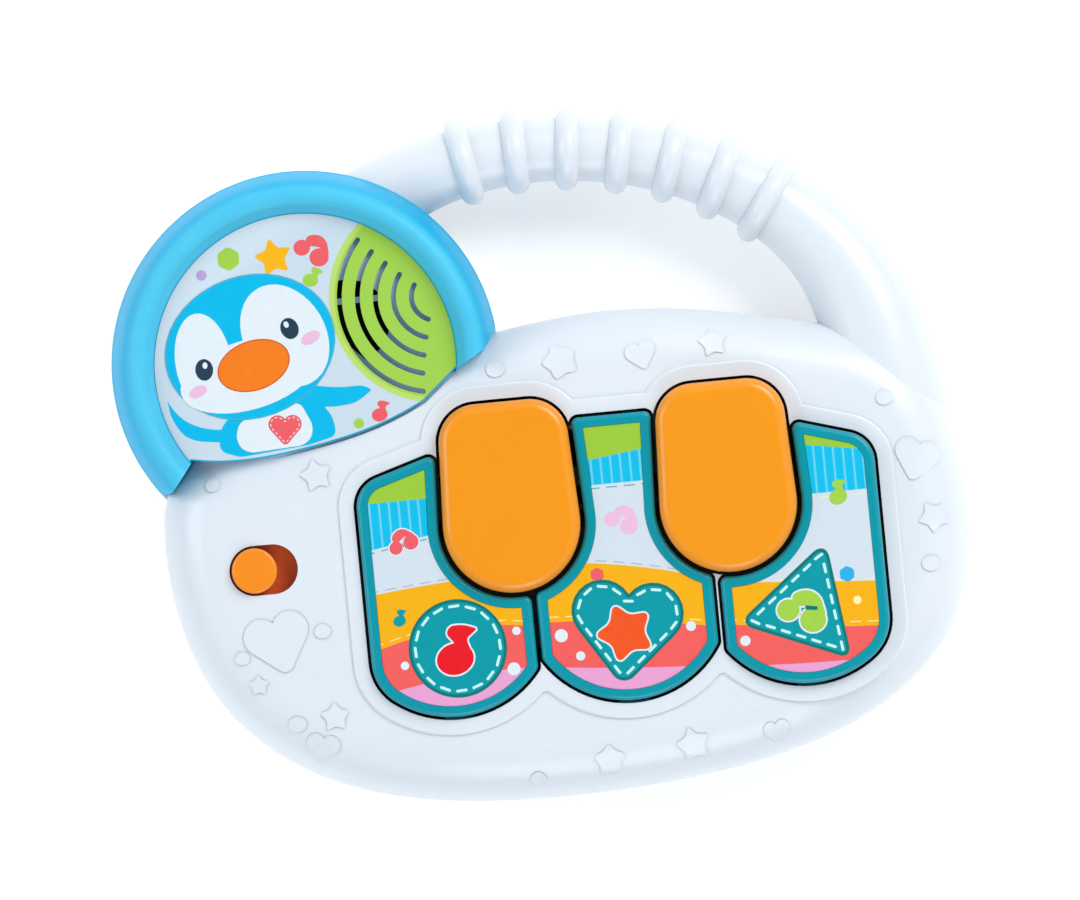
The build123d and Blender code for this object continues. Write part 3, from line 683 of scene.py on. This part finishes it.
def middlePrint():
    art = Print("middlePrint", "key_middle_body", "label_middle")
    hearts = [heartLoop(*middleArt["patch"], step) for step in patchSewing["steps"]]
    sewnPatch(art, hearts, middleArt["pitch"])
    star = turned(starLoop(*middleArt["starShape"]), *middleArt["star"])
    art.plate("mask", grown(star, halo), 3)
    art.plate("flame", star, 4)
    art.pair("rose", *middleArt["pair"])
    art.hexagon("berry", *middleArt["hexagon"], 0.8)
    art.dots("mask", middleArt["dots"])
    art.finish()


rightArt = {
    "flag": [(44.4, -20.9), (69.3, -1.4), (73.2, -32.9)], "flagCorners": [4.2, 4.6, 3.6], "pitch": 4.05,
    "pair": (57.9, -18.6, 1.32, 8), "slit": [(62.4, -17.8), (65.6, -18.4), (65.4, -19.3), (62.4, -18.9)],
    "note": (73.6, 9.5, 0.95, 10), "hexagon": (74, -10.7, 2.1, 1.85, 0.3),
    "paleDot": [(46, -25.5, 1.35)], "creamDot": [(76, -17.7, 1.1)],
}  # fmt: skip


def rightPrint():
    art = Print("rightPrint", "key_right_body", "label_right")
    flag = roundedLoop(rightArt["flag"], rightArt["flagCorners"], 6)
    sewnPatch(art, [grown(flag, step) for step in patchSewing["steps"]], rightArt["pitch"])
    for tone, margin, layer in (("mask", halo, 3), ("leaf", 0, 4)):
        art.pair(tone, *rightArt["pair"], layer, margin)
    art.plate("patchEdge", roundedLoop(rightArt["slit"], 0.2, 2), 5)
    art.note("leaf", *rightArt["note"])
    art.hexagon("sky", *rightArt["hexagon"])
    art.dots("mask", rightArt["paleDot"])
    art.dots("cream", rightArt["creamDot"])
    art.finish()


# the bird's body, right wing, left wing and belly: tone, layer, corners, their rounding and its segments
birdPlates = [
    ("bird", 1, [(-84.2, 44), (-85.4, 36.6), (-80, 34.6), (-62, 36.1),
                 (-55, 37.8), (-54.6, 41.6), (-58.5, 48), (-66, 52)], [3, 2, 1, 0.5, 1.2, 2.5, 3, 3], 5),
    ("bird", 1.5, [(-62, 46.6), (-60.5, 51.5), (-53, 50.2), (-46.6, 50.2),
                   (-44.4, 48.8), (-48.8, 45.8), (-55.6, 45.2)], [1, 1, 2, 1.2, 0.6, 2, 3], 5),
    ("bird", 1.2, [(-80, 42), (-89, 42.4), (-95.4, 46.6), (-97.6, 51),
                   (-96.8, 44.4), (-92.4, 40), (-84, 38.8)], [1, 4, 3, 0.3, 4, 3, 1], 5),
    ("mask", 2, [(-79.6, 43.8), (-81, 38.4), (-78, 35.4),
                 (-62.6, 36.2), (-60, 40), (-63.4, 47.4)], [2, 2.4, 2, 2, 2.6, 1.5], 6),
]  # fmt: skip
birdHeart = (-67.8, 41.2, -4, 0.27)
# its head, face and beak: tone, middle, half sizes, turn and layer
birdOvals = [
    ("rim", -74.9, 62.9, 22.6, 18.6, 14, 3), ("bird", -74.9, 62.9, 22.2, 18.2, 14, 3.3),
    ("mask", -87.3, 60, 7.3, 12.9, 4, 4), ("mask", -65.6, 65, 10.6, 14.1, 25, 4.2),
    ("mask", -75.9, 55.7, 18.3, 9, 11, 4.4), ("orangeEdge", -74.4, 58, 9.7, 6.5, 14, 5.5),
    ("beak", -74.4, 58, 9.4, 6.2, 14, 6),
]  # fmt: skip
birdEyes = [(-87.3, 58.1, 0), (-64.2, 66.7, 18)]
birdCheeks = [(-89.4, 52.6, 2.4, 1.4, 20), (-59, 63.8, 2.6, 1.5, 24)]
aroundBird = {
    "star": (-66.6, 85.4, 8), "starShape": (5, 5.3, 2.8, 0.9, 0.7), "hexagon": (-78.3, 86.2, 3.1, 2.75, 0.5),
    "lilacDot": [(-85.7, 82.6, 1.35)], "pair": (-59, 87.3, 0.98, 0), "leafNote": (-57.6, 78.7, 0.8, -24),
    "berryNote": (-43, 42.1, 0.82, -6), "leafDot": [(-48.6, 40.4, 1.3)],
}  # fmt: skip


def facePrint():
    # a plain bird, with notes, a star and spots round it
    art = Print("facePrint", "case", "face_label")
    for tone, layer, corners, rounding, segments in birdPlates:
        art.plate(tone, roundedLoop(corners, rounding, segments), layer)
    art.plate("berry", heartLoop(*birdHeart), 3)
    art.stitches("mask", heartLoop(*birdHeart, -0.6), 1.3, 0.7, 0.24, 4)
    for oval in birdOvals:
        art.oval(*oval)
    for x, y, turn in birdEyes:
        art.oval("dark", x, y, 2.3, 2.8, turn, 6)
        art.oval("mask", x + 0.3 - 0.06 * turn, y + 1.1, 0.65, 0.85, turn, 7)
    for cheek in birdCheeks:
        art.oval("rose", *cheek, 6)
    art.plate("yellow", turned(starLoop(*aroundBird["starShape"]), *aroundBird["star"]))
    art.hexagon("leaf", *aroundBird["hexagon"])
    art.dots("lilac", aroundBird["lilacDot"])
    art.pair("berry", *aroundBird["pair"])
    art.note("leaf", *aroundBird["leafNote"])
    art.note("berry", *aroundBird["berryNote"])
    art.dots("leaf", aroundBird["leafDot"])
    art.finish()


leftPrint()
middlePrint()
rightPrint()
facePrint()


# Low shapes on the case

# shape, place, size and turn of each
reliefs = [
    ("star", -61, 28, 4.6, 10), ("spot", -88, 28, 2, 25), ("star", -81, -25, 3, 0),
    ("heart", -75, -13.5, 8.6, 12), ("spot", -63.2, -12.5, 2.2, 0), ("spot", -84.6, -17.6, 2, 0),
    ("star", -62, -35, 4.2, 0), ("spot", -72, -36, 2.4, 0), ("heart", -66, -42.5, 4.4, -15),
    ("spot", -11, -56, 2, 0), ("flower", 8, -53, 4.6, 0), ("star", 30, -51, 4.9, 12),
    ("heart", 52, -49.5, 3.4, 10), ("spot", -12, 51, 2.4, 0), ("flower", 5, 51.5, 5.4, 20),
    ("heart", 26, 51.5, 4, 12), ("star", 45, 52.6, 4.2, 6), ("spot", 88, 34, 2.2, 0),
    ("heart", 95, 18, 6, -18), ("star", 98, 2, 4.6, 30), ("spot", 96, -10, 2.4, 0),
]  # fmt: skip
reliefRise = 0.35  # over the case


def outlineFor(kind, x, y, size, turn):
    if kind == "star":
        return turned(starLoop(5, size, size * 0.56, size * 0.2, size * 0.2), x, y, turn)
    if kind == "flower":
        return turned(starLoop(5, size, size * 0.62, size * 0.3, size * 0.12), x, y, turn)
    if kind == "heart":
        return heartLoop(x, y, turn, size / 16)
    return ovalLoop(x, y, size, size * 0.85, turn, 24)


def caseReliefs():
    # thin sheets laid over the crowned face, all in one piece
    case = bmesh.new()
    case.from_mesh(nodes["front_shell"].data)
    caseSurface = BVHTree.FromBMesh(case)
    case.free()
    mesh = bmesh.new()
    for relief in reliefs:
        corners = [mesh.verts.new((p.x, p.y, 0)) for p in outlineFor(*relief)]
        face = mesh.faces.new(corners)
        face.normal_update()
        if face.normal.z < 0:
            face.normal_flip()
        bmesh.ops.triangulate(mesh, faces=[face])
        for v in corners:
            start = Vector((v.co.x * mm + home.x, v.co.y * mm + home.y, 0.1))
            spot = caseSurface.ray_cast(start, Vector((0, 0, -1)))[0]
            v.co.z = (spot.z / mm if spot else 0) + reliefRise
    toMetres(mesh, home.x, home.y)
    piece = madePiece("caseShapes", mesh, shell.material, smooth=True)
    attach(piece, "case")


caseReliefs()
print("case reliefs done")


# The soft contact domes under the keys

dome = {
    "height": 5.2, "foot": 5.0, "cap": 2.8, "skin": 0.7, "ledge": 1, "round": 0.21,
    "squeezed": {"left": 0.62, "middle": 0.62, "right": 0.62, "orange_left": 0.68, "orange_right": 0.68},
}  # fmt: skip


def softDome(side):
    low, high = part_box("dome_" + side)
    x, y, z = (low.x + high.x) / 2, (low.y + high.y) / 2, low.z
    height, foot, cap, skin = dome["height"], dome["foot"], dome["cap"], dome["skin"]
    shoulder = foot - dome["ledge"]
    outer = [(foot, 0), (foot, skin), (shoulder, skin), (cap, height), (0, height)]
    inner = [(0, height - skin), (cap - skin, height - skin), (shoulder - skin, 0)]
    mesh = bmesh.new()
    rim = [mesh.verts.new((r, 0, h)) for r, h in outer + inner]
    edges = [mesh.edges.new((a, b)) for a, b in zip(rim, rim[1:] + rim[:1]) if a.co.x or b.co.x]
    bmesh.ops.spin(mesh, geom=rim + edges, cent=(0, 0, 0), axis=(0, 0, 1), angle=2 * pi,
                   steps=48, use_merge=True)  # fmt: skip
    bmesh.ops.remove_doubles(mesh, verts=mesh.verts, dist=0.001)
    corners = [e for e in mesh.edges if len(e.link_faces) == 2 and e.calc_face_angle() > 0.6]
    bmesh.ops.bevel(mesh, geom=corners, offset=dome["round"], affect="EDGES", segments=2,
                    profile=0.5, material=-1)  # fmt: skip
    bmesh.ops.recalc_face_normals(mesh, faces=mesh.faces)
    toMetres(mesh, x, y, z)
    piece = madePiece("softDome_" + side, mesh, silicone.material, smooth=True)
    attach(piece, "case")
    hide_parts("dome_" + side)
    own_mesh(piece)


for side, keep in dome["squeezed"].items():
    softDome(side)
print("domes done")


# Floor, light and camera

studio = {"width": 0.2808, "aim": (-0.0002, 0.00065), "turn": 5.5, "height": 0.9}
paperFloor = {"reach": 6, "below": 0.05 * mm, "tone": 0.86, "lift": 0.3}


def floor():
    mesh = bmesh.new()
    bmesh.ops.create_grid(mesh, x_segments=1, y_segments=1, size=paperFloor["reach"])
    bmesh.ops.translate(mesh, vec=(0, 0, -paperFloor["below"]), verts=mesh.verts)
    paper = Paint("floorPaper", (*[paperFloor["tone"]] * 3, 1), 0.9, Specular_IOR_Level=0.1)
    paper.feed(paper.shader.inputs["Emission Color"], (1, 1, 1, 1))
    paper.feed(paper.shader.inputs["Emission Strength"], paperFloor["lift"])
    piece = madePiece("floor", mesh, paper.material)


# where each lamp stands, its size, power and colour
lamps = {
    "key": ((0.75, 0.75, 0.9), 0.7, 12, (1, 1, 1)),
    "fill": ((-0.95, 0.25, 0.7), 0.6, 4, (0.9, 0.96, 1)),
    "front": ((0.1, -1, 0.7), 0.6, 4, (0.94, 0.97, 1)),
}


def softLight(name, spot, size, power, colour):
    data = bpy.data.lights.new(name, "AREA")
    data.size, data.energy, data.color = size, power, colour
    light = bpy.data.objects.new(name, data)
    light.location = spot
    light.rotation_euler = (Vector((0, 0, 0)) - Vector(spot)).to_track_quat("-Z", "Y").to_euler()
    bpy.context.scene.collection.objects.link(light)


def camera():
    data = bpy.data.cameras.new("camera")
    data.type = "ORTHO"
    data.ortho_scale = studio["width"]
    view = bpy.data.objects.new("camera", data)
    view.location = (*studio["aim"], studio["height"])
    view.rotation_euler = (0, 0, radians(-studio["turn"]))
    bpy.context.scene.collection.objects.link(view)
    bpy.context.scene.camera = view


# how bright the room is, from under the floor's level up to overhead
room = [
    (-0.03, (1, 1, 1)), (0, (0.36, 0.44, 0.52)), (0.4, (0.94, 0.98, 1)),
    (0.75, (0.92, 0.96, 1)), (0.95, (0.2, 0.21, 0.22)),
]  # fmt: skip
roomStrength = 0.92


def roomLight():
    # dim skirting, white walls and a darker ceiling: round edges darken and flat tops keep their colour
    tree = world.node_tree
    look = tree.nodes.new("ShaderNodeTexCoord")
    split = tree.nodes.new("ShaderNodeSeparateXYZ")
    halfway = tree.nodes.new("ShaderNodeMath")
    ramp = tree.nodes.new("ShaderNodeValToRGB")
    halfway.operation = "MULTIPLY_ADD"
    halfway.inputs[1].default_value = halfway.inputs[2].default_value = 0.5
    tree.links.new(look.outputs["Generated"], split.inputs[0])
    tree.links.new(split.outputs["Z"], halfway.inputs[0])
    tree.links.new(halfway.outputs[0], ramp.inputs["Fac"])
    stops = ramp.color_ramp.elements
    while len(stops) < len(room):
        stops.new(1)
    for stop, (height, colour) in zip(stops, room):
        stop.position, stop.color = (height + 1) / 2, (*colour, 1)
    tree.links.new(ramp.outputs["Color"], tree.nodes["Background"].inputs["Color"])
    tree.nodes["Background"].inputs["Strength"].default_value = roomStrength


floor()
for name, (spot, size, power, colour) in lamps.items():
    softLight(name, spot, size, power, colour)
world = bpy.context.scene.world or bpy.data.worlds.new("room")
bpy.context.scene.world = world
world.use_nodes = True
roomLight()
bpy.context.scene.view_settings.view_transform = "Standard"
camera()
print("studio ready")
